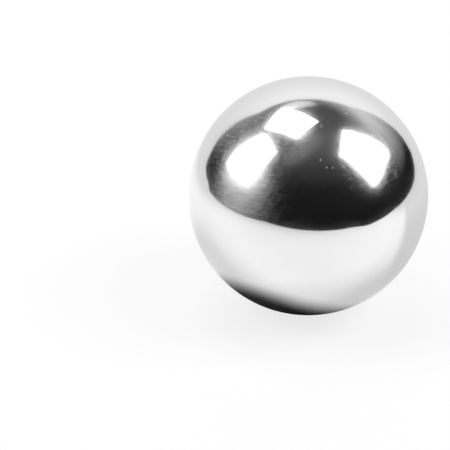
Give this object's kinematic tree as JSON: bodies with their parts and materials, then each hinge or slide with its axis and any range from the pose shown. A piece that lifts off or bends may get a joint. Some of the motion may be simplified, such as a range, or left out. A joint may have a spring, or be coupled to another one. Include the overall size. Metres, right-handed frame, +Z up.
{
  "type": "hollow metal ball",
  "caption": "Sealed hollow sphere of mirror-polished stainless steel with a thin drawn wall; a smooth reflective ball to display, roll, float or set in a ring stand.",
  "frame": {"origin": "centre of the ball", "axes": "+Z up through both poles, square to the plane of the hidden weld; X and Y lie in the weld plane"},
  "size_m": [0.1, 0.1, 0.1],
  "materials": {
    "polished_steel": "stainless steel, ground flush at the weld and buffed to a mirror, with fine buffing hairlines"
  },
  "bodies": {
    "root": {"hollow_ball": "polished_steel"}
  },
  "joints": []
}
